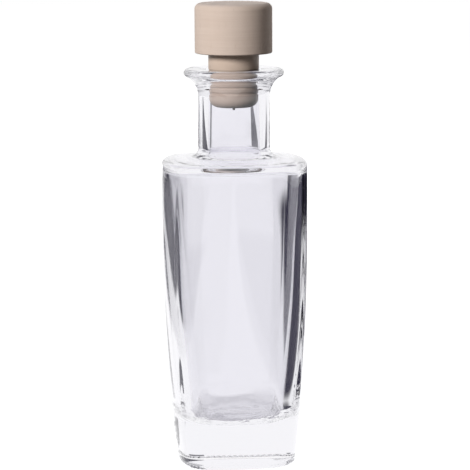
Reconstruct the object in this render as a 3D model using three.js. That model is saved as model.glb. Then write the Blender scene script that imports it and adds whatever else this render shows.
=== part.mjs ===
// A square glass spirit bottle with a round neck, closed by a wooden-headed stopper.
// Millimetres, +Z up. The origin is the centre of the base, and the body's faces look along X and Y.
import * as THREE from "three";

const { PI, cos, sin, acos, atan2, sqrt, abs, min } = Math;
const SEGMENTS = 48;
const FLANK_STEPS = 9; // rings up the body's flank, outside and inside
const SHOULDER_STEPS = 5;
const ARC_STEPS = 4;

// Body, outside. A half width is measured square to a face, from the axis.
const footHalfWidth = 22.15;
const shoulderHalfWidth = 27.5;
const shoulderHeight = 115.8;
const flankPower = 2.8; // 1 gives straight flanks, more lets them straighten on the way up
const footCornerRadius = 11.1;
const shoulderCornerRadius = 12.6;
const footBowRadius = 64;
const shoulderBowRadius = 45;
const heelRadius = 1.6;
const shoulderEdgeRadius = 2;

// Underside: a flat band to stand on round a shallow push-up.
const bearingBandWidth = 3.4;
const pushUpHeight = 1.3;

// Neck and lip, outside.
const neckRadius = 13.7;
const neckRootHeight = 117;
const neckRootFillet = 3.2;
const lipRadius = 18.9;
const lipEdgeRadius = 1.6;
const lipFlareRadius = 8;
const rimHeight = 150.1;

// Inside.
const boreRadius = 9.4;
const boreRootRadius = 9.9;
const mouthRounding = 1.6;
const mouthDip = 0.4;
const boreRootRounding = 4;
const shoulderWall = 1.7;
const upperWall = 2.5;
const lowerWall = 6.2;
const cavityShoulderRadius = 2.6;
const cavityFootCornerRadius = 9;
const cavityShoulderCornerRadius = 12;
const floorHeight = 15.6;
const floorEdgeRise = 1;
const floorEdgeRadius = 7;

// Stopper plug. Its collar stands over the rim, and its ribs run in the bore with a clearance.
const ribClearance = 0.18;
const ribCount = 3;
const ribHeight = 1.6;
const ribDepth = 0.3;
const ribSpacing = 3;
const collarRadius = 9.55;
const collarHeight = 5.8;
const collarTaper = 1.4;
const plugDepth = 14.4; // below the rim
const plugEndRadius = 3.6;
const nubRadius = 0.5;
const nubHeight = 1.2;
const bossRadius = 5.2;
const bossHeight = 7.5;

// Stopper head.
const headRadius = 14.6;
const headHeight = 18.8;
const headTopRadius = 2.3;
const headFootRadius = 0.5;
const bossClearance = 0.2;
const bossEndClearance = 0.5;

const mix = (a, b, share) => a + (b - a) * share;
const smooth = (share) => share ** 2 * (3 - 2 * share);
const steps = (count) => Array.from({ length: count + 1 }, (_, i) => i / count);
const between = (from, to, count) => steps(count).slice(1, -1).map((share) => mix(from, to, share));

// Points on an arc in the profile plane, as [radius, height], the angles counted in quarter turns.
function arc(centreRadius, centreHeight, radius, from, to, count) {
  return steps(count).map((share) => {
    const angle = mix(from, to, share) * (PI / 2);
    return [centreRadius + radius * cos(angle), centreHeight + radius * sin(angle)];
  });
}

// Distance from the axis to a square outline with rounded corners and bowed faces.
// A side arc of radius bow meets each corner arc of radius corner with no kink between them.
function squareRadius(half, corner, bow, angle) {
  const setback = bow - half;
  const inset = (sqrt(2 * (bow - corner) ** 2 - setback ** 2) - setback) / 2;
  const towardsCorner = atan2(inset, inset + setback);
  const meeting = atan2(bow * sin(towardsCorner), bow * cos(towardsCorner) - setback);
  const t = abs(((angle + PI / 4) % (PI / 2)) - PI / 4);
  if (t <= meeting) return sqrt(bow ** 2 - (setback * sin(t)) ** 2) - setback * cos(t);
  const along = inset * (cos(t) + sin(t));
  return along + sqrt(corner ** 2 - (2 * inset ** 2 - along ** 2));
}

// The body's outside, and the cavity inside it, as sizes of the square section at a height.
const upTheBody = (z) => min(z / shoulderHeight, 1);
const wall = (z) => mix(lowerWall, upperWall, upTheBody(z));
const outside = {
  half: (z) => mix(shoulderHalfWidth, footHalfWidth, (1 - upTheBody(z)) ** flankPower),
  corner: (z) => mix(footCornerRadius, shoulderCornerRadius, upTheBody(z)),
  bow: (z) => mix(footBowRadius, shoulderBowRadius, upTheBody(z)),
};
const cavity = {
  half: (z) => outside.half(z) - wall(z),
  corner: (z) => mix(cavityFootCornerRadius, cavityShoulderCornerRadius, upTheBody(z)),
  bow: (z) => outside.bow(z) - wall(z),
};

// One ring of the loft: the square section scaled to the half width, and blended towards a circle.
function ring(skin, [half, z], roundness) {
  return steps(SEGMENTS)
    .slice(0, SEGMENTS)
    .map((share) => {
      const angle = share * 2 * PI;
      const scale = half / skin.half(z);
      const square = squareRadius(skin.half(z), skin.corner(z), skin.bow(z), angle) * scale;
      const radius = mix(square, half, roundness);
      return new THREE.Vector3(radius * cos(angle), radius * sin(angle), z);
    });
}

// Rings from a shoulder's square edge to the round root of the neck, both given as [half width, height].
function shoulderRings(skin, edge, root) {
  return between(0, 1, SHOULDER_STEPS).map((share) => {
    const rise = smooth(share);
    return ring(skin, [mix(edge[0], root[0], share), mix(edge[1], root[1], rise)], rise);
  });
}

// Skins a run of rings, from a point on the axis at the start to one at the end.
function loft(rings, startHeight, endHeight) {
  const last = 1 + rings.length * SEGMENTS;
  const points = [new THREE.Vector3(0, 0, startHeight), ...rings.flat(), new THREE.Vector3(0, 0, endHeight)];
  const faces = [];
  for (let j = 0; j < SEGMENTS; j++) {
    const k = (j + 1) % SEGMENTS;
    faces.push(0, 1 + k, 1 + j);
    for (let i = 0; i + 1 < rings.length; i++) {
      const a = 1 + i * SEGMENTS;
      const b = a + SEGMENTS;
      faces.push(a + j, a + k, b + k, a + j, b + k, b + j);
    }
    faces.push(last - SEGMENTS + j, last - SEGMENTS + k, last);
  }
  const geometry = new THREE.BufferGeometry().setFromPoints(points);
  geometry.setIndex(faces);
  geometry.computeVertexNormals();
  return geometry;
}

// The lip is a round edge that runs without a kink into the flare under it.
const lipCentre = [lipRadius - lipEdgeRadius, rimHeight - lipEdgeRadius];
const flareTurn = acos((neckRadius + lipFlareRadius - lipCentre[0]) / (lipFlareRadius + lipEdgeRadius));
const flareHeight = lipCentre[1] - (lipFlareRadius + lipEdgeRadius) * sin(flareTurn);
const flareQuarters = flareTurn / (PI / 2);

function outsideRings() {
  const bandOuter = outside.half(heelRadius) - heelRadius;
  const bandInner = bandOuter - bearingBandWidth;
  const edgeHalf = shoulderHalfWidth - shoulderEdgeRadius;
  const rootRadius = neckRadius + neckRootFillet;
  const body = (points) => points.map((point) => ring(outside, point, 0));
  const round = (points) => points.map((point) => ring(outside, point, 1));
  const pushUp = steps(ARC_STEPS).slice(1).map((share) =>
    ring(outside, [bandInner * share, pushUpHeight * (1 - share ** 2)], 1 - share),
  );
  const flankTop = shoulderHeight - shoulderEdgeRadius;
  const flank = between(heelRadius, flankTop, FLANK_STEPS);
  return [
    ...pushUp,
    ...body(arc(bandOuter, heelRadius, heelRadius, -1, 0, ARC_STEPS)),
    ...body(flank.map((z) => [outside.half(z), z])),
    ...body(arc(edgeHalf, flankTop, shoulderEdgeRadius, 0, 1, ARC_STEPS)),
    ...shoulderRings(outside, [edgeHalf, shoulderHeight], [rootRadius, neckRootHeight]),
    ...round(arc(rootRadius, neckRootHeight + neckRootFillet, neckRootFillet, 3, 2, ARC_STEPS)),
    ...round(arc(neckRadius + lipFlareRadius, flareHeight, lipFlareRadius, 2, 2 - flareQuarters, ARC_STEPS)),
    ...round(arc(...lipCentre, lipEdgeRadius, -flareQuarters, 1, ARC_STEPS + 2).slice(1)),
  ];
}

function insideRings() {
  const mouthRadius = boreRadius + mouthRounding;
  const mouthHeight = rimHeight - mouthDip;
  const cavityTop = shoulderHeight - shoulderWall;
  const edgeTop = cavityTop - cavityShoulderRadius;
  const edgeHalf = cavity.half(edgeTop) - cavityShoulderRadius;
  const rootRadius = boreRootRadius + boreRootRounding;
  const rootHeight = neckRootHeight - shoulderWall;
  const floorEdge = floorHeight + floorEdgeRise;
  const floorTop = floorEdge + floorEdgeRadius;
  const floorHalf = cavity.half(floorTop) - floorEdgeRadius;
  const body = (points) => points.map((point) => ring(cavity, point, 0));
  const round = (points) => points.map((point) => ring(cavity, point, 1));
  const flank = between(edgeTop, floorTop, FLANK_STEPS);
  const dish = between(1, 0, ARC_STEPS).map((share) =>
    ring(cavity, [floorHalf * share, mix(floorHeight, floorEdge, share ** 2)], 1 - share),
  );
  return [
    ...round(arc(mouthRadius, mouthHeight - mouthRounding, mouthRounding, 1, 2, ARC_STEPS)),
    ...round(arc(rootRadius, rootHeight + boreRootRounding, boreRootRounding, 2, 3, ARC_STEPS)),
    ...shoulderRings(cavity, [edgeHalf, cavityTop], [rootRadius, rootHeight]).reverse(),
    ...body(arc(edgeHalf, edgeTop, cavityShoulderRadius, 1, 0, ARC_STEPS)),
    ...body(flank.map((z) => [cavity.half(z), z])),
    ...body(arc(floorHalf, floorTop, floorEdgeRadius, 0, -1, ARC_STEPS)),
    ...dish,
  ];
}

// Turns a closed profile of [radius, height] points about the Z axis.
function turned(profile) {
  const points = profile.map(([radius, height]) => new THREE.Vector2(radius, height));
  return new THREE.LatheGeometry(points, SEGMENTS).rotateX(PI / 2);
}

// Ribs stand just clear of the bore, with grooves between them.
function plugProfile() {
  const ribRadius = boreRadius - ribClearance;
  const grooveRadius = ribRadius - ribDepth;
  const end = rimHeight - plugDepth;
  const collarTop = rimHeight + collarHeight;
  const firstRib = end + plugEndRadius;
  const ribs = steps(ribCount - 1).flatMap((share) => {
    const foot = firstRib + share * (ribCount - 1) * ribSpacing;
    const top = foot + ribHeight;
    return [
      [ribRadius, foot],
      [ribRadius, top],
      [grooveRadius, top + ribDepth],
      [grooveRadius, foot + ribSpacing - ribDepth],
    ];
  });
  return [
    [0, end - nubHeight],
    [nubRadius, end - nubHeight],
    [nubRadius, end],
    ...arc(ribRadius - plugEndRadius, firstRib, plugEndRadius, -1, 0, ARC_STEPS + 1).slice(0, -1),
    ...ribs,
    [grooveRadius, rimHeight - collarTaper],
    [collarRadius, rimHeight],
    [collarRadius, collarTop],
    [bossRadius, collarTop],
    [bossRadius, collarTop + bossHeight],
    [0, collarTop + bossHeight],
  ];
}

// A turned knob with a blind hole in its foot for the plug's boss.
function headProfile() {
  const foot = rimHeight + collarHeight;
  const top = foot + headHeight;
  const holeRadius = bossRadius + bossClearance;
  const holeTop = foot + bossHeight + bossEndClearance;
  return [
    [0, holeTop],
    [holeRadius, holeTop],
    [holeRadius, foot],
    ...arc(headRadius - headFootRadius, foot + headFootRadius, headFootRadius, -1, 0, ARC_STEPS),
    ...arc(headRadius - headTopRadius, top - headTopRadius, headTopRadius, 0, 1, ARC_STEPS + 1),
    [0, top],
  ];
}

const glass = new THREE.MeshStandardMaterial({
  color: 0xe4e5ec, roughness: 0.05, metalness: 0, transparent: true, opacity: 0.35,
});
const beech = new THREE.MeshStandardMaterial({ color: 0xd2baa8, roughness: 0.6, metalness: 0 });
const elastomer = new THREE.MeshStandardMaterial({ color: 0xcbb09a, roughness: 0.5, metalness: 0 });

function part(name, geometry, material) {
  const mesh = new THREE.Mesh(geometry, material);
  mesh.name = name;
  return mesh;
}

const stopper = new THREE.Group();
stopper.add(part("stopper_plug", turned(plugProfile()), elastomer));
stopper.add(part("stopper_head", turned(headProfile()), beech));

const bottle = new THREE.Group();
bottle.add(part("bottle", loft([...outsideRings(), ...insideRings()], pushUpHeight, floorHeight), glass));
bottle.add(stopper);

export default bottle;
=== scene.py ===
"""Dresses a clear square spirit bottle and its wooden stopper, and lights them for the photograph's view.

The sizes of the pieces are millimetres, with +Z up and the origin at the centre of the base. MM turns them
into metres. The set's own sizes are metres and degrees.
"""

import logging
import math
from dataclasses import dataclass, field
from enum import Enum
from typing import Any, Callable, Optional, Sequence, Union

import bpy
import numpy as np
from mathutils import Matrix, Vector


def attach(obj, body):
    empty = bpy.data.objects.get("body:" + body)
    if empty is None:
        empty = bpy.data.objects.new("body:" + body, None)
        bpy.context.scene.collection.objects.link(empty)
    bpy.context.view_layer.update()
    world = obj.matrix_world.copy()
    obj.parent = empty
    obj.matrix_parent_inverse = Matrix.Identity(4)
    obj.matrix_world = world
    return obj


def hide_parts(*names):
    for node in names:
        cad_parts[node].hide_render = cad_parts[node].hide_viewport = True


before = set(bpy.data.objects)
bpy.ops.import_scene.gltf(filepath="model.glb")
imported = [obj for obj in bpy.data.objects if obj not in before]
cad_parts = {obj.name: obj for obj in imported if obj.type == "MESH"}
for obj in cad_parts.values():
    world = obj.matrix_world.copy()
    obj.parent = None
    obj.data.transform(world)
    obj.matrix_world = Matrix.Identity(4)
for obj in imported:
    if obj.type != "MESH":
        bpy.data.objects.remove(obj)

MM = 0.001
PHOTO_PIXELS = 470
AIM_HEIGHT = 0.09
LOG = logging.getLogger("bottle")

# Steps of the glass mesh: round a fillet, up the flank, and over the other curves of the section.
FILLET_STEPS = 10
FLANK_STEPS = 44
CAVITY_FLANK_STEPS = 40
CURVE_STEPS = 14
LIP_STEPS = 18
MOUTH_STEPS = 12
FLOOR_EDGE_STEPS = 16
SHOULDER_STEPS = 18
PUSH_UP_STEPS = 9
BAND_STEPS = 4
DISH_STEPS = 10

# The stray of the blown wall, as waves: size, how many go round, millimetres for a radian, and start.
WANDER_WAVES = ((1.0, 2, 17, 0.4), (0.6, 5, -11, 1.9), (0.35, 9, 7, 4.1))

Colour = tuple[float, float, float]
BLACK: Colour = (0.0, 0.0, 0.0)
WHITE: Colour = (1.0, 1.0, 1.0)
Point = tuple[float, float]
Number = Union[float, "Value"]


class Body(Enum):
    """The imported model's bodies."""

    VESSEL = "vessel"
    STOPPER = "stopper"


class Slot(Enum):
    """The record's material slots."""

    GLASS = "clear_glass"
    WOOD = "pale_wood"
    ELASTOMER = "beige_elastomer"


class Ray(Enum):
    """What a material or the world can know of the path that meets it."""

    CAMERA = "Is Camera Ray"
    SHADOW = "Is Shadow Ray"
    DIFFUSE_DEPTH = "Diffuse Depth"
    GLOSSY_DEPTH = "Glossy Depth"
    TRANSMISSION_DEPTH = "Transmission Depth"


class Value:
    """A number that a node gives, so that shader maths reads as an expression."""

    def __init__(self, graph: "Graph", socket: bpy.types.NodeSocket) -> None:
        """Keeps the socket and the graph that it belongs to."""
        self.graph = graph
        self.socket = socket

    def apply(self, operation: str, *others: Number, clamp: bool = False) -> "Value":
        """Adds a Math node with this value first.

        Args:
            operation: The Math node's operation.
            others: The values or numbers for its other inputs.
            clamp: Whether the result is held between 0 and 1.

        Returns:
            The node's result.
        """
        return self.graph.maths(operation, self, *others, clamp=clamp)

    def __add__(self, other: Number) -> "Value":
        """This value plus another."""
        return self.apply("ADD", other)

    def __radd__(self, other: float) -> "Value":
        """A number plus this value."""
        return self.apply("ADD", other)

    def __sub__(self, other: Number) -> "Value":
        """This value less another."""
        return self.apply("SUBTRACT", other)

    def __rsub__(self, other: float) -> "Value":
        """A number less this value."""
        return self.graph.maths("SUBTRACT", other, self)

    def __mul__(self, other: Number) -> "Value":
        """This value times another."""
        return self.apply("MULTIPLY", other)

    def __rmul__(self, other: float) -> "Value":
        """A number times this value."""
        return self.apply("MULTIPLY", other)

    def __pow__(self, power: Number) -> "Value":
        """This value raised to a power."""
        return self.apply("POWER", power)

    def between(self, low: float, high: float) -> "Value":
        """A smooth step from 0, where this value is low, to 1, where it is high."""
        settings = {"interpolation_type": "SMOOTHSTEP"}
        sockets = {"Value": self, "From Min": low, "From Max": high}
        return self.graph.value("ShaderNodeMapRange", "Result", settings, sockets)

    def held(self) -> "Value":
        """This value held between 0 and 1."""
        return self.apply("ADD", 0.0, clamp=True)


class Graph:
    """The nodes of one material or world."""

    def __init__(self, tree: bpy.types.NodeTree) -> None:
        """Empties the tree, to build it anew."""
        tree.nodes.clear()
        self.tree = tree

    def node(
        self, kind: str, settings: Optional[dict[str, Any]] = None, sockets: Optional[dict[Any, Any]] = None
    ) -> bpy.types.Node:
        """Adds one node.

        Args:
            kind: The node's type.
            settings: Attributes to set first.
            sockets: Values or links for its inputs, by name or number.

        Returns:
            The node.
        """
        node = self.tree.nodes.new(kind)
        for name, setting in (settings or {}).items():
            setattr(node, name, setting)
        for key, given in (sockets or {}).items():
            socket = given.socket if isinstance(given, Value) else given
            if isinstance(socket, bpy.types.NodeSocket):
                self.tree.links.new(socket, node.inputs[key])
            else:
                node.inputs[key].default_value = socket
        return node

    def value(
        self,
        kind: str,
        output: Any,
        settings: Optional[dict[str, Any]] = None,
        sockets: Optional[dict[Any, Any]] = None,
    ) -> Value:
        """Adds one node and gives one of its outputs as a number.

        Args:
            kind: The node's type.
            output: The output's name or number.
            settings: As for node().
            sockets: As for node().

        Returns:
            The output.
        """
        return Value(self, self.node(kind, settings, sockets).outputs[output])

    def maths(self, operation: str, *terms: Number, clamp: bool = False) -> Value:
        """Adds a Math node for some terms, and gives its result."""
        settings = {"operation": operation, "use_clamp": clamp}
        return self.value("ShaderNodeMath", 0, settings, dict(enumerate(terms)))

    def ray(self, fact: Ray) -> Value:
        """What is known of the path that meets this surface."""
        return self.value("ShaderNodeLightPath", fact.value)

    def place(self) -> tuple[bpy.types.NodeSocket, Value, Value, Value]:
        """The point in the object's own frame, which is the row's frame, in metres.

        Returns:
            The point as a vector, and its X, Y and Z.
        """
        vector = self.node("ShaderNodeTexCoord").outputs["Object"]
        parts = self.node("ShaderNodeSeparateXYZ", sockets={0: vector})
        return (vector, *(Value(self, parts.outputs[i]) for i in range(3)))

    def noise(self, vector: Any, texture: "Texture") -> Value:
        """Smooth noise from 0 to 1.

        Args:
            vector: The point that it is read at.
            texture: Its scale, stretch and detail.

        Returns:
            The noise.
        """
        sockets = {"Vector": vector, "Scale": texture.stretch}
        spread = self.node("ShaderNodeMapping", {"vector_type": "POINT"}, sockets).outputs[0]
        sockets = {"Vector": spread, "Scale": texture.scale, "Detail": texture.detail}
        return self.value("ShaderNodeTexNoise", 0, sockets=sockets)

    def mix(self, share: Number, first: Any, second: Any) -> bpy.types.NodeSocket:
        """A colour between two, by a share from 0 to 1."""
        colours = {k: (*c, 1.0) if isinstance(c, tuple) else c for k, c in ((6, first), (7, second))}
        return self.node("ShaderNodeMix", {"data_type": "RGBA"}, {0: share, **colours}).outputs[2]

    def bump(
        self, height: Value, depth: float, under: Optional[bpy.types.NodeSocket] = None
    ) -> bpy.types.NodeSocket:
        """A normal from a height map.

        Args:
            height: The map, from 0 to 1.
            depth: What it spans, in millimetres.
            under: A normal that it is laid over.

        Returns:
            The normal.
        """
        sockets = {"Height": height, "Distance": depth * MM, "Strength": 1.0}
        if under is not None:
            sockets["Normal"] = under
        return self.node("ShaderNodeBump", sockets=sockets).outputs[0]


@dataclass(frozen=True)
class Texture:
    """A smooth noise: waves per metre, a factor on that along X, Y and Z, and a count of finer octaves."""

    scale: float
    stretch: tuple[float, float, float] = (1.0, 1.0, 1.0)
    detail: float = 2.0


def metres(edges: Point) -> Point:
    """Two lengths in millimetres, turned into metres."""
    return edges[0] * MM, edges[1] * MM


def new_material(name: str) -> tuple[bpy.types.Material, Graph]:
    """Makes an empty material that uses nodes.

    Args:
        name: Its name.

    Returns:
        The material and its graph.
    """
    material = bpy.data.materials.new(name)
    material.use_nodes = True
    return material, Graph(material.node_tree)


@dataclass(frozen=True)
class ClearGlass:
    """Clear flint glass, blown into a mould: a slow ripple, a knurled ring to stand on, and a marked floor.

    The floor's grey tint and its rings are painted shade in the glass's colour, a stand-in for the grey band
    that a real bottle shows over its base, most likely by refraction.
    """

    tint: Colour = (0.905, 0.9, 0.935)
    shade_tint: Colour = (0.96, 0.96, 0.97)
    refraction: float = 1.5
    ripple: Texture = Texture(55.0, (1.0, 1.0, 0.35), 1.0)
    ripple_depth: float = 0.05
    knurl_count: int = 84
    knurl_depth: float = 0.25
    knurl_edge: Point = (0.2, 0.7)
    chill: Texture = Texture(230.0, (1.0, 1.0, 2.0), 2.0)
    chill_depth: float = 1.1
    # Painted shade: the grey of the band over the cavity's floor, its rings, and how strongly they show.
    painted_band_tint: Colour = (0.42, 0.41, 0.45)
    painted_band_strength: float = 0.8
    chill_and_shade_reach: Point = (17.5, 18.5)
    chill_and_shade_foot: Point = (13.5, 15.0)
    chill_and_shade_top: Point = (19.0, 23.5)
    ring_pitch: float = 5.0
    ring_wobble: float = 9.0
    painted_ring_strength: float = 0.16

    def material(self) -> bpy.types.Material:
        """Builds the glass. Lamps shine through it, so it casts only a light shadow."""
        material, graph = new_material("clear_flint_glass")
        point, x, y, z = graph.place()
        rippled = graph.bump(graph.noise(point, self.ripple), self.ripple_depth)
        width = x.apply("ABSOLUTE").apply("MAXIMUM", y.apply("ABSOLUTE"))
        inside = 1 - width.between(*metres(self.chill_and_shade_reach))
        floor = inside * z.between(*metres(self.chill_and_shade_foot)) * (1 - z.between(*metres(self.chill_and_shade_top)))
        grain = graph.noise(point, self.chill)
        chilled = graph.bump(grain * floor, self.chill_depth, rippled)
        # Painted shade: a grey band with grey rings over the cavity's floor, mixed into the glass's Base
        # Color.
        reach = (x * x + y * y) ** 0.5
        rings = (reach * (2 * math.pi / (self.ring_pitch * MM)) + grain * self.ring_wobble).apply("SINE")
        darker_tone = (rings * self.painted_ring_strength + self.painted_band_strength) * floor
        knurls = (y.apply("ARCTAN2", x) * self.knurl_count).apply("SINE") * 0.5 + 0.5
        foot = 1 - z.between(*metres(self.knurl_edge))
        sockets = {
            "Base Color": graph.mix(darker_tone, self.tint, self.painted_band_tint),
            "Roughness": 0.0,
            "IOR": self.refraction,
            "Transmission Weight": 1.0,
            "Normal": graph.bump(knurls * foot, self.knurl_depth, chilled),
        }
        glass = graph.node("ShaderNodeBsdfPrincipled", sockets=sockets)
        passing = graph.node("ShaderNodeBsdfTransparent", sockets={0: (*self.shade_tint, 1.0)})
        sockets = {0: graph.ray(Ray.SHADOW), 1: glass.outputs[0], 2: passing.outputs[0]}
        mixed = graph.node("ShaderNodeMixShader", sockets=sockets)
        graph.node("ShaderNodeOutputMaterial", sockets={0: mixed.outputs[0]})
        return material


@dataclass(frozen=True)
class PaleBeech:
    """Pale, close-grained beech, turned on a lathe and left nearly matt."""

    light: Colour = (0.73, 0.595, 0.51)
    dark: Colour = (0.60, 0.465, 0.38)
    fleck: Colour = (0.62, 0.485, 0.40)
    end_grain: Colour = (0.60, 0.50, 0.46)
    grain: Texture = Texture(420.0, (1.0, 1.0, 0.12), 3.0)
    cloud: Texture = Texture(60.0, (1.0, 1.0, 0.5), 2.0)
    flecks: Texture = Texture(900.0, (1.0, 1.0, 0.22), 1.0)
    lathe: Texture = Texture(500.0, (0.1, 0.1, 2.4), 2.0)
    fibres: Texture = Texture(1500.0, (1.0, 1.0, 0.1), 2.0)
    lathe_share: float = 0.7
    cloud_share: float = 0.5
    grain_share: float = 0.25
    tone_start: float = 0.25
    fleck_edge: Point = (0.66, 0.74)
    fleck_strength: float = 0.55
    top_edge: Point = (173.5, 174.5)
    turning_pitch: float = 0.9
    turning_wobble: float = 6.0
    turning_share: float = 0.4
    fibre_share: float = 0.6
    turning_depth: float = 0.03
    roughness: float = 0.5
    roughness_spread: float = 0.15
    refraction: float = 1.45

    def material(self) -> bpy.types.Material:
        """Builds the wood, with its grain along Z and its end grain on top."""
        material, graph = new_material("pale_turned_beech")
        point, _, _, z = graph.place()
        grain = graph.noise(point, self.grain)
        cloud = graph.noise(point, self.cloud)
        flecks = graph.noise(point, self.flecks).between(*self.fleck_edge)
        lathe = graph.noise(point, self.lathe)
        tone = lathe * self.lathe_share + cloud * self.cloud_share + grain * self.grain_share
        wood = graph.mix((tone - self.tone_start).held(), self.light, self.dark)
        wood = graph.mix(flecks * self.fleck_strength, wood, self.fleck)
        top = z.between(*metres(self.top_edge))
        wood = graph.mix(top, wood, graph.mix(grain, self.end_grain, self.light))
        phase = z * (2 * math.pi / (self.turning_pitch * MM)) + cloud * self.turning_wobble
        turning = phase.apply("SINE") * 0.5 + 0.5
        fibres = graph.noise(point, self.fibres)
        relief = turning * self.turning_share + fibres * self.fibre_share
        sockets = {
            "Base Color": wood,
            "Roughness": grain * self.roughness_spread + self.roughness,
            "IOR": self.refraction,
            "Normal": graph.bump(relief, self.turning_depth),
        }
        shader = graph.node("ShaderNodeBsdfPrincipled", sockets=sockets)
        graph.node("ShaderNodeOutputMaterial", sockets={0: shader.outputs[0]})
        return material


@dataclass(frozen=True)
class BeigeElastomer:
    """Soft moulded plastic in a wooden beige, with a fine satin skin."""

    colour: Colour = (0.68, 0.53, 0.43)
    darker_tone: Colour = (0.62, 0.475, 0.38)
    cloud: Texture = Texture(150.0, detail=3.0)
    skin: Texture = Texture(2600.0)
    skin_depth: float = 0.02
    roughness: float = 0.4
    roughness_spread: float = 0.12
    refraction: float = 1.48

    def material(self) -> bpy.types.Material:
        """Builds the elastomer."""
        material, graph = new_material("satin_beige_elastomer")
        point, _, _, _ = graph.place()
        cloud = graph.noise(point, self.cloud)
        sockets = {
            "Base Color": graph.mix(cloud, self.colour, self.darker_tone),
            "Roughness": cloud * self.roughness_spread + self.roughness,
            "IOR": self.refraction,
            "Normal": graph.bump(graph.noise(point, self.skin), self.skin_depth),
        }
        shader = graph.node("ShaderNodeBsdfPrincipled", sockets=sockets)
        graph.node("ShaderNodeOutputMaterial", sockets={0: shader.outputs[0]})
        return material


@dataclass(frozen=True)
class SquareSection:
    """A square outline with rounded corners and bowed faces, at one height."""

    half: float
    corner: float
    bow: float

    def radii(self, angles: np.ndarray) -> np.ndarray:
        """The outline's distance from the axis.

        Args:
            angles: Directions about the axis, in radians.

        Returns:
            One distance for each direction.
        """
        setback = self.bow - self.half
        inset = (math.sqrt(2 * (self.bow - self.corner) ** 2 - setback**2) - setback) / 2
        towards_corner = math.atan2(inset, inset + setback)
        sideways = self.bow * math.sin(towards_corner)
        meeting = math.atan2(sideways, self.bow * math.cos(towards_corner) - setback)
        turn = np.abs((angles + math.pi / 4) % (math.pi / 2) - math.pi / 4)
        side = np.sqrt(self.bow**2 - (setback * np.sin(turn)) ** 2) - setback * np.cos(turn)
        along = inset * (np.cos(turn) + np.sin(turn))
        corner = along + np.sqrt(np.maximum(self.corner**2 - (2 * inset**2 - along**2), 0))
        return np.where(turn <= meeting, side, corner)


def between(first: float, second: float, share: float) -> float:
    """A number between two, by a share."""
    return first + (second - first) * share


def smooth(share: float) -> float:
    """A share eased at both ends."""
    return share * share * (3 - 2 * share)


def shares(count: int, ends: bool = True) -> list[float]:
    """Even shares from 0 to 1.

    Args:
        count: How many steps lie between 0 and 1.
        ends: Whether 0 and 1 are among them.

    Returns:
        The shares.
    """
    even = [i / count for i in range(count + 1)]
    return even if ends else even[1:-1]


def arc(centre: Point, radius: float, start: float, stop: float, count: int) -> list[Point]:
    """Points on an arc in the profile plane.

    Args:
        centre: Its centre, as radius and height.
        radius: Its own radius.
        start: Where it starts, in quarter turns.
        stop: Where it stops, in quarter turns.
        count: How many steps it has.

    Returns:
        The points, as radius and height.
    """
    turns = [between(start, stop, share) * math.pi / 2 for share in shares(count)]
    return [(centre[0] + radius * math.cos(t), centre[1] + radius * math.sin(t)) for t in turns]


def loft(name: str, rings: Sequence[np.ndarray], start: float, end: float) -> bpy.types.Object:
    """Skins a run of rings into one closed, smooth mesh.

    Args:
        name: The object's name.
        rings: Rings of points in millimetres, all with the same count.
        start: Height of the point on the axis before the first ring.
        end: Height of the point on the axis after the last ring.

    Returns:
        The object, in metres.
    """
    count = len(rings[0])
    points = np.concatenate([[(0, 0, start)], *rings, [(0, 0, end)]]) * MM
    here = np.arange(count)
    after = (here + 1) % count
    faces = [(0, 1 + k, 1 + j) for j, k in zip(here.tolist(), after.tolist())]
    for i in range(len(rings) - 1):
        low = 1 + i * count
        high = low + count
        quads = np.stack([low + here, low + after, high + after, high + here], axis=1)
        faces.extend(map(tuple, quads.tolist()))
    last = 1 + len(rings) * count
    faces.extend((last - count + j, last - count + k, last) for j, k in zip(here.tolist(), after.tolist()))
    mesh = bpy.data.meshes.new(name)
    mesh.from_pydata(points.tolist(), [], faces)
    mesh.shade_smooth()
    mesh.update()
    made = bpy.data.objects.new(name, mesh)
    bpy.context.scene.collection.objects.link(made)
    return made


def turned(name: str, profile: Sequence[Point], count: int) -> bpy.types.Object:
    """Turns a profile about the axis. Its first and last points lie on the axis.

    Args:
        name: The object's name.
        profile: Points as radius and height, in millimetres.
        count: How many segments the turning has.

    Returns:
        The object, in metres.
    """
    angles = np.arange(count) * 2 * math.pi / count
    rings = [
        np.stack([radius * np.cos(angles), radius * np.sin(angles), np.full(count, height)], axis=1)
        for radius, height in profile[1:-1]
    ]
    return loft(name, rings, profile[0][1], profile[-1][1])


def eased(corners: Sequence[tuple[float, float, float]], count: int = 5) -> list[Point]:
    """Rounds the corners of a profile.

    Args:
        corners: Each corner's radius, height and rounding, in millimetres.
        count: How many steps a rounding has.

    Returns:
        The profile's points.
    """
    profile: list[Point] = []
    for i, (radius, height, rounding) in enumerate(corners):
        here = Vector((radius, height))
        if rounding <= 0 or i in (0, len(corners) - 1):
            profile.append((radius, height))
            continue
        back = (Vector(corners[i - 1][:2]) - here).normalized()
        ahead = (Vector(corners[i + 1][:2]) - here).normalized()
        half_angle = back.angle(ahead) / 2
        reach = rounding / math.tan(half_angle)
        centre = here + (back + ahead).normalized() * rounding / math.sin(half_angle)
        first = here + back * reach - centre
        sweep = first.angle_signed(here + ahead * reach - centre)
        for share in shares(count):
            spoke = Matrix.Rotation(-sweep * share, 2) @ first
            profile.append(tuple(centre + spoke))
    return profile


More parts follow.
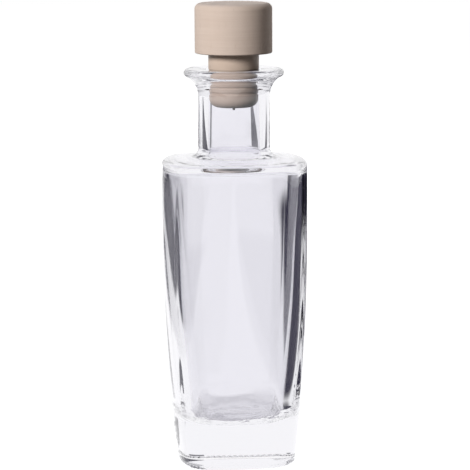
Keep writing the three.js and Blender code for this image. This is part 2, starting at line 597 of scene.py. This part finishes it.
@dataclass
class GlassBottle:
    """The bottle: a bowed square body, a round neck with a flared lip, and the cavity inside."""

    foot_half_width: float = 22.15
    shoulder_half_width: float = 27.5
    shoulder_height: float = 115.8
    flank_power: float = 2.8
    foot_corner_radius: float = 11.1
    shoulder_corner_radius: float = 12.6
    foot_bow_radius: float = 64.0
    shoulder_bow_radius: float = 45.0
    heel_radius: float = 1.6
    shoulder_edge_radius: float = 2.0
    bearing_band_width: float = 3.4
    push_up_height: float = 1.3
    neck_radius: float = 13.7
    neck_root_height: float = 117.0
    neck_root_fillet: float = 3.2
    lip_radius: float = 18.9
    lip_edge_radius: float = 1.6
    lip_flare_radius: float = 8.0
    rim_height: float = 150.1
    bore_radius: float = 9.4
    bore_root_radius: float = 9.9
    mouth_rounding: float = 1.6
    mouth_dip: float = 0.4
    bore_root_rounding: float = 4.0
    shoulder_wall: float = 1.7
    upper_wall: float = 2.5
    lower_wall: float = 6.2
    cavity_shoulder_radius: float = 2.6
    cavity_foot_corner: float = 9.0
    cavity_shoulder_corner: float = 12.0
    floor_height: float = 15.6
    floor_edge_rise: float = 1.0
    floor_edge_radius: float = 7.0
    wall_wander: float = 0.1
    segments: int = 256
    finish: ClearGlass = field(default_factory=ClearGlass)

    def up(self, height: float) -> float:
        """How far up the body a height is, as a share."""
        return min(height / self.shoulder_height, 1.0)

    def outside(self, height: float) -> SquareSection:
        """The outside's section at a height."""
        up = self.up(height)
        return SquareSection(
            between(self.shoulder_half_width, self.foot_half_width, (1 - up) ** self.flank_power),
            between(self.foot_corner_radius, self.shoulder_corner_radius, up),
            between(self.foot_bow_radius, self.shoulder_bow_radius, up),
        )

    def cavity(self, height: float) -> SquareSection:
        """The cavity's section at a height."""
        outer = self.outside(height)
        wall = between(self.lower_wall, self.upper_wall, self.up(height))
        corner = between(self.cavity_foot_corner, self.cavity_shoulder_corner, self.up(height))
        return SquareSection(outer.half - wall, corner, outer.bow - wall)

    def ring(self, skin: Callable[[float], SquareSection], point: Point, roundness: float) -> np.ndarray:
        """One ring of the loft.

        Args:
            skin: The outside or the cavity.
            point: The ring's half width and height.
            roundness: 0 for the square section, 1 for a circle.

        Returns:
            The ring's points, in millimetres.
        """
        half, height = point
        angles = np.arange(self.segments) * 2 * math.pi / self.segments
        section = skin(height)
        square = section.radii(angles) * half / section.half
        radii = square + (half - square) * roundness
        if skin == self.cavity:
            radii = radii + self.wander(angles, height) * (1 - roundness)
        heights = np.full(self.segments, height)
        return np.stack([radii * np.cos(angles), radii * np.sin(angles), heights], axis=1)

    def wander(self, angles: np.ndarray, height: float) -> np.ndarray:
        """How far the blown cavity wall strays at a height, where the mould doesn't hold it."""
        waves = (
            size * np.sin(count * angles + height / rise + start) for size, count, rise, start in WANDER_WAVES
        )
        return self.wall_wander * sum(waves) / 2

    def outside_rings(self) -> list[np.ndarray]:
        """The outside's rings, from the middle of the underside to the top of the lip."""
        lip_centre = (self.lip_radius - self.lip_edge_radius, self.rim_height - self.lip_edge_radius)
        flare_reach = self.lip_flare_radius + self.lip_edge_radius
        flare_turn = math.acos((self.neck_radius + self.lip_flare_radius - lip_centre[0]) / flare_reach)
        flare_height = lip_centre[1] - flare_reach * math.sin(flare_turn)
        quarters = flare_turn / (math.pi / 2)
        band_outer = self.outside(self.heel_radius).half - self.heel_radius
        band_inner = band_outer - self.bearing_band_width
        edge_half = self.shoulder_half_width - self.shoulder_edge_radius
        root_radius = self.neck_radius + self.neck_root_fillet
        flank_top = self.shoulder_height - self.shoulder_edge_radius
        square = arc((band_outer, self.heel_radius), self.heel_radius, -1, 0, FILLET_STEPS)
        square += [(self.outside(z).half, z) for z in self.heights(self.heel_radius, flank_top, FLANK_STEPS)]
        square += arc((edge_half, flank_top), self.shoulder_edge_radius, 0, 1, FILLET_STEPS)
        root_centre = (root_radius, self.neck_root_height + self.neck_root_fillet)
        flare_centre = (self.neck_radius + self.lip_flare_radius, flare_height)
        circles = arc(root_centre, self.neck_root_fillet, 3, 2, FILLET_STEPS)
        circles += arc(flare_centre, self.lip_flare_radius, 2, 2 - quarters, CURVE_STEPS)
        circles += arc(lip_centre, self.lip_edge_radius, -quarters, 1, LIP_STEPS)[1:]
        band = [(between(band_inner, band_outer, share), 0.0) for share in shares(BAND_STEPS, ends=False)]
        edge = (edge_half, self.shoulder_height)
        return [
            *(self.dome_ring(band_inner, share) for share in shares(PUSH_UP_STEPS)[1:]),
            *(self.ring(self.outside, point, 0) for point in band),
            *(self.ring(self.outside, point, 0) for point in square),
            *self.shoulder_rings(self.outside, edge, (root_radius, self.neck_root_height)),
            *(self.ring(self.outside, point, 1) for point in circles),
        ]

    def inside_rings(self) -> list[np.ndarray]:
        """The inside's rings, from the mouth down to the middle of the cavity's floor."""
        mouth_height = self.rim_height - self.mouth_dip - self.mouth_rounding
        mouth_centre = (self.bore_radius + self.mouth_rounding, mouth_height)
        cavity_top = self.shoulder_height - self.shoulder_wall
        edge_top = cavity_top - self.cavity_shoulder_radius
        edge_half = self.cavity(edge_top).half - self.cavity_shoulder_radius
        root = (self.bore_root_radius + self.bore_root_rounding, self.neck_root_height - self.shoulder_wall)
        floor_edge = self.floor_height + self.floor_edge_rise
        floor_top = floor_edge + self.floor_edge_radius
        floor_half = self.cavity(floor_top).half - self.floor_edge_radius
        root_centre = (root[0], root[1] + self.bore_root_rounding)
        circles = arc(mouth_centre, self.mouth_rounding, 1, 2, MOUTH_STEPS)
        circles += arc(root_centre, self.bore_root_rounding, 2, 3, CURVE_STEPS)
        square = arc((edge_half, edge_top), self.cavity_shoulder_radius, 1, 0, CURVE_STEPS)
        square += [(self.cavity(z).half, z) for z in self.heights(edge_top, floor_top, CAVITY_FLANK_STEPS)]
        square += arc((floor_half, floor_top), self.floor_edge_radius, 0, -1, FLOOR_EDGE_STEPS)
        shoulder = self.shoulder_rings(self.cavity, (edge_half, cavity_top), root)
        return [
            *(self.ring(self.cavity, point, 1) for point in circles),
            *reversed(shoulder),
            *(self.ring(self.cavity, point, 0) for point in square),
            *(self.dish_ring(floor_half, floor_edge, 1 - share) for share in shares(DISH_STEPS, ends=False)),
        ]

    @staticmethod
    def heights(start: float, stop: float, count: int) -> list[float]:
        """Even heights between two, without the ends."""
        return [between(start, stop, share) for share in shares(count, ends=False)]

    def dome_ring(self, half: float, share: float) -> np.ndarray:
        """A ring of the push-up, at a share of its half width."""
        return self.ring(self.outside, (half * share, self.push_up_height * (1 - share**2)), 1 - share)

    def dish_ring(self, half: float, edge: float, share: float) -> np.ndarray:
        """A ring of the cavity's dished floor, at a share of its half width."""
        return self.ring(self.cavity, (half * share, between(self.floor_height, edge, share**2)), 1 - share)

    def shoulder_rings(
        self, skin: Callable[[float], SquareSection], edge: Point, root: Point
    ) -> list[np.ndarray]:
        """Rings from a shoulder's square edge to the round root of the neck.

        Args:
            skin: The outside or the cavity.
            edge: The half width and height at the edge.
            root: The radius and height at the neck's root.

        Returns:
            The rings between the two.
        """
        return [
            self.ring(skin, (between(edge[0], root[0], s), between(edge[1], root[1], smooth(s))), smooth(s))
            for s in shares(SHOULDER_STEPS, ends=False)
        ]

    def build(self) -> bpy.types.Object:
        """Makes the bottle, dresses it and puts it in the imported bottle's place."""
        rings = [*self.outside_rings(), *self.inside_rings()]
        glass = loft("bottle_glass", rings, self.push_up_height, self.floor_height)
        return fitted(glass, self.finish.material(), Body.VESSEL, "bottle")


@dataclass
class StopperPlug:
    """The moulded plug: a nub, a rounded end, three ribs, a collar, and a boss up into the head."""

    rim_height: float = 150.1
    bore_radius: float = 9.4
    rib_clearance: float = 0.18
    rib_count: int = 3
    rib_height: float = 1.6
    rib_depth: float = 0.3
    rib_spacing: float = 3.0
    collar_radius: float = 9.55
    collar_height: float = 5.8
    collar_taper: float = 1.4
    depth: float = 14.4
    end_radius: float = 3.6
    nub_radius: float = 0.5
    nub_height: float = 1.2
    boss_radius: float = 5.2
    boss_height: float = 7.5
    segments: int = 160
    finish: BeigeElastomer = field(default_factory=BeigeElastomer)

    def profile(self) -> list[Point]:
        """The plug's profile, from the nub up to the boss."""
        rib_radius = self.bore_radius - self.rib_clearance
        groove = rib_radius - self.rib_depth
        end = self.rim_height - self.depth
        collar_top = self.rim_height + self.collar_height
        first_rib = end + self.end_radius
        nub_end = end - self.nub_height
        nub = [(0, nub_end, 0), (self.nub_radius, nub_end, 0.2), (self.nub_radius, end, 0.2)]
        ribs: list[tuple[float, float, float]] = []
        for i in range(self.rib_count):
            foot = first_rib + i * self.rib_spacing
            top = foot + self.rib_height
            if i:
                ribs.append((rib_radius, foot, 0.1))
            ribs.append((rib_radius, top, 0.1))
            ribs.append((groove, top + self.rib_depth, 0.1))
            if i + 1 < self.rib_count:
                ribs.append((groove, foot + self.rib_spacing - self.rib_depth, 0.1))
        upper = [
            (groove, self.rim_height - self.collar_taper, 0.5),
            (self.collar_radius, self.rim_height, 0.5),
            (self.collar_radius, collar_top, 0.3),
            (self.boss_radius, collar_top, 0.2),
            (self.boss_radius, collar_top + self.boss_height, 0.4),
            (0, collar_top + self.boss_height, 0),
        ]
        end_centre = (rib_radius - self.end_radius, first_rib)
        rounded_end = [(r, z, 0) for r, z in arc(end_centre, self.end_radius, -1, 0, 12)]
        return eased([*nub, *rounded_end, *ribs, *upper])

    def build(self) -> bpy.types.Object:
        """Makes the plug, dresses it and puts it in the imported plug's place."""
        plug = turned("moulded_plug", self.profile(), self.segments)
        return fitted(plug, self.finish.material(), Body.STOPPER, "stopper_plug")


@dataclass
class StopperHead:
    """The turned wooden head, with a blind hole in its foot for the plug's boss."""

    foot_height: float = 155.9
    radius: float = 14.6
    height: float = 18.8
    top_radius: float = 2.3
    foot_radius: float = 0.5
    hole_radius: float = 5.4
    hole_depth: float = 8.0
    segments: int = 192
    finish: PaleBeech = field(default_factory=PaleBeech)

    def profile(self) -> list[Point]:
        """The head's profile, from the hole's roof round the foot and up to the top."""
        top = self.foot_height + self.height
        hole_top = self.foot_height + self.hole_depth
        return eased(
            [
                (0, hole_top, 0),
                (self.hole_radius, hole_top, 0.3),
                (self.hole_radius, self.foot_height, 0.3),
                (self.radius, self.foot_height, self.foot_radius),
                (self.radius, top, self.top_radius),
                (0, top, 0),
            ],
            count=12,
        )

    def build(self) -> bpy.types.Object:
        """Makes the head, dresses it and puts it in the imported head's place."""
        head = turned("turned_head", self.profile(), self.segments)
        return fitted(head, self.finish.material(), Body.STOPPER, "stopper_head")


def fitted(
    piece: bpy.types.Object, material: bpy.types.Material, body: Body, node: str
) -> bpy.types.Object:
    """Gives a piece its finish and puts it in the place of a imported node.

    Args:
        piece: The new piece.
        material: Its finish.
        body: The body that it moves with.
        node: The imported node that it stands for.

    Returns:
        The piece.
    """
    piece.data.materials.append(material)
    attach(piece, body.value)
    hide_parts(node)
    return piece


def direction(azimuth: float, elevation: float) -> Vector:
    """The way from the object to a place round it.

    Args:
        azimuth: Degrees round from the front, positive towards the right of a viewer there.
        elevation: Degrees above the horizon.

    Returns:
        A unit vector.
    """
    turn = math.radians(azimuth)
    lift = math.radians(elevation)
    return Vector((math.sin(turn) * math.cos(lift), -math.cos(turn) * math.cos(lift), math.sin(lift)))


@dataclass(frozen=True)
class AreaLamp:
    """A square soft box, aimed at a point halfway up the object."""

    name: str
    azimuth: float
    elevation: float
    distance: float
    side: float
    level: float
    colour: Colour = (1.0, 1.0, 1.0)

    def build(self) -> bpy.types.Object:
        """Makes the lamp. Its level is the brightness of a white surface that faces it."""
        lamp = bpy.data.lights.new(self.name, "AREA")
        lamp.size = self.side
        lamp.color = self.colour
        lamp.energy = self.level * (math.pi * self.distance) ** 2
        made = bpy.data.objects.new(self.name, lamp)
        towards = direction(self.azimuth, self.elevation)
        made.location = towards * self.distance + Vector((0, 0, AIM_HEIGHT))
        made.rotation_euler = towards.to_track_quat("Z", "Y").to_euler()
        made.visible_glossy = False
        made.visible_transmission = False
        made.visible_camera = False
        bpy.context.scene.collection.objects.link(made)
        return made


@dataclass
class Studio:
    """A white table and surround, soft lamps, and dark cards that only the glass sees.

    The cards stand beside the bottle, and the table is dark where they would go on. Light that the glass has
    mirrored meets all of a card. Light seen through it passes gaps to the sides and towards the corners.
    """

    ambient: float = 0.03
    ambient_tint: Colour = (1.0, 0.72, 0.56)
    floor_radius: float = 3.0
    floor_thickness: float = 0.002
    floor_segments: int = 96
    floor_albedo: float = 0.28
    floor_glow: float = 1.0
    card_azimuth: float = -7.07
    card_left: float = -0.26
    card_right: float = 0.128
    card_front: float = -0.15
    card_back: float = 0.6
    card_height: float = 0.095
    card_colour: Colour = (0.04, 0.037, 0.06)
    table_left: Point = (0.16, 0.2)
    table_right: Point = (0.068, 0.09)
    table_reach: Point = (0.5, 0.6)
    card_gap: Point = (72.0, 78.0)
    corner_gap: Point = (43.0, 10.0)
    gap_softness: float = 3.0
    card_seen_through: float = 0.9
    card_mirrored: float = 1.0
    lamps: tuple[AreaLamp, ...] = (
        AreaLamp("key_lamp", -47, 25, 1.4, 0.4, 1.0, (0.97, 0.99, 1.0)),
        AreaLamp("rim_lamp", 125, 20, 1.4, 0.5, 0.11),
        AreaLamp("back_lamp", 173, 12, 1.4, 0.5, 0.6),
    )

    def world(self) -> None:
        """Makes the surround: white to look at and in the glass, and dim as a light."""
        world = bpy.data.worlds.new("white_surround")
        bpy.context.scene.world = world
        world.use_nodes = True
        world.cycles.sampling_method = "NONE"
        graph = Graph(world.node_tree)
        scattered = graph.ray(Ray.DIFFUSE_DEPTH).held()
        dim = tuple(self.ambient * channel for channel in self.ambient_tint)
        colour = graph.mix(scattered, WHITE, dim)
        surround = graph.node("ShaderNodeBackground", sockets={"Color": colour, "Strength": 1.0})
        graph.node("ShaderNodeOutputWorld", sockets={0: surround.outputs[0]})

    def floor(self) -> bpy.types.Object:
        """Makes the table top. It glows white to look at and in the glass, and keeps a faint shadow."""
        radius = self.floor_radius / MM
        low = -self.floor_thickness / MM
        disc = turned("table_top", [(0, low), (radius, low), (radius, 0), (0, 0)], self.floor_segments)
        for polygon in disc.data.polygons:
            polygon.use_smooth = False
        material, graph = new_material("white_table")
        material.cycles.emission_sampling = "NONE"
        looked_at = graph.ray(Ray.CAMERA)
        card = self.card_shade(graph, self.table_card(graph)) * (1 - looked_at)
        in_glass = graph.ray(Ray.TRANSMISSION_DEPTH).held()
        glow = (1 - graph.ray(Ray.DIFFUSE_DEPTH).held()) * (1 - card) * self.floor_glow
        sockets = {
            "Base Color": (1 - card) * (1 - in_glass) * self.floor_albedo,
            "Roughness": 1.0,
            "Specular IOR Level": 0.0,
            "Emission Color": graph.mix(card, graph.mix(glow, BLACK, WHITE), self.card_colour),
            "Emission Strength": 1.0,
        }
        shader = graph.node("ShaderNodeBsdfPrincipled", sockets=sockets)
        graph.node("ShaderNodeOutputMaterial", sockets={0: shader.outputs[0]})
        disc.data.materials.append(material)
        disc.rotation_euler.z = math.radians(self.card_azimuth)
        return disc

    def card_shade(self, graph: Graph, card: Number = 1.0) -> Value:
        """How dark a card is. Its gaps are set by angles: one by its edge, one by its middle and half width.

        Args:
            graph: The material's graph.
            card: Where there is card, from 0 to 1.

        Returns:
            A share from 0 to 1, more for light that the glass has mirrored than for light seen through it.
        """
        _, x, y, _ = graph.place()
        way = x.apply("ABSOLUTE").apply("ARCTAN2", y.apply("ABSOLUTE")) * (180 / math.pi)
        seen = (1 - way.between(*self.card_gap)) * self.card_seen_through
        middle, half = self.corner_gap
        seen = seen * (way - middle).apply("ABSOLUTE").between(half, half + self.gap_softness)
        mirrored = graph.ray(Ray.GLOSSY_DEPTH).held()
        return (seen + mirrored * (self.card_mirrored - seen)) * card

    def table_card(self, graph: Graph) -> Value:
        """Where the table is dark, as the cards' continuation for light that meets it before a card."""
        _, x, y, _ = graph.place()
        left = (0 - x).between(*self.table_left)
        right = x.between(*self.table_right)
        return (left + right) * (1 - ((x * x + y * y) ** 0.5).between(*self.table_reach))

    def cards(self) -> bpy.types.Object:
        """Makes a dark card on each side of the body. Only the glass sees them, and its edges draw dark."""
        points = []
        for x in (self.card_left, self.card_right):
            for y in (self.card_front, self.card_back):
                points += [(x, y, 0.0), (x, y, self.card_height)]
        mesh = bpy.data.meshes.new("dark_cards")
        mesh.from_pydata(points, [], [(0, 1, 3, 2), (4, 5, 7, 6)])
        made = bpy.data.objects.new("dark_cards", mesh)
        made.rotation_euler.z = math.radians(self.card_azimuth)
        bpy.context.scene.collection.objects.link(made)
        material, graph = new_material("black_card")
        clear = graph.node("ShaderNodeBsdfTransparent")
        sockets = {"Color": (*self.card_colour, 1.0), "Strength": 1.0}
        black = graph.node("ShaderNodeEmission", sockets=sockets)
        sockets = {0: self.card_shade(graph), 1: clear.outputs[0], 2: black.outputs[0]}
        mixed = graph.node("ShaderNodeMixShader", sockets=sockets)
        graph.node("ShaderNodeOutputMaterial", sockets={0: mixed.outputs[0]})
        mesh.materials.append(material)
        made.visible_camera = False
        made.visible_diffuse = False
        made.visible_shadow = False
        return made

    def build(self) -> None:
        """Makes the whole set, and lets light bounce often enough for thick glass."""
        scene = bpy.context.scene
        scene.view_settings.view_transform = "Standard"
        scene.cycles.max_bounces = 32
        scene.cycles.glossy_bounces = 24
        scene.cycles.transmission_bounces = 32
        scene.cycles.transparent_max_bounces = 32
        scene.cycles.caustics_refractive = False
        scene.cycles.caustics_reflective = False
        self.world()
        self.floor()
        self.cards()
        for lamp in self.lamps:
            lamp.build()


@dataclass(frozen=True)
class PhotoCamera:
    """A camera at the photograph's viewing angle, measured from it."""

    azimuth: float = -7.07
    elevation: float = 8.917
    distance: float = 905.7
    look_height: float = 86.275
    pixels_per_unit_slope: float = 2379.85
    aim_right: float = 0.152
    aim_up: float = 0.265
    roll: float = -0.32
    sensor: float = 36.0

    def build(self) -> bpy.types.Object:
        """Makes the camera and sets it as the scene's."""
        back = direction(self.azimuth, self.elevation)
        right = Vector((0, 0, 1)).cross(back).normalized()
        up = back.cross(right)
        aim = Vector((0, 0, self.look_height)) + right * self.aim_right + up * self.aim_up
        data = bpy.data.cameras.new("photo_camera")
        data.sensor_width = self.sensor
        data.lens = self.sensor * self.pixels_per_unit_slope / PHOTO_PIXELS
        data.clip_start = 0.01
        data.clip_end = 20.0
        made = bpy.data.objects.new("photo_camera", data)
        turn = Matrix.Rotation(math.radians(self.roll), 3, back)
        axes = Matrix((turn @ right, turn @ up, back)).transposed()
        made.matrix_world = Matrix.Translation((aim + back * self.distance) * MM) @ axes.to_4x4()
        bpy.context.scene.collection.objects.link(made)
        bpy.context.scene.camera = made
        return made


def corners(box: tuple[Vector, Vector]) -> list[list[float]]:
    """A box's two corners as plain lists."""
    return [[float(number) for number in corner] for corner in box]


def main() -> None:
    """Builds the bottle, its stopper and the set."""
    logging.basicConfig(level=logging.INFO, format="%(message)s")
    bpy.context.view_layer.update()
    for assembly in (GlassBottle(), StopperPlug(), StopperHead()):
        piece = assembly.build()
        LOG.info("%s has %d faces", piece.name, len(piece.data.polygons))
    Studio().build()
    camera = PhotoCamera().build()
    LOG.info("%s looks from %.3f m", camera.name, camera.location.length)


if __name__ == "__main__":
    main()
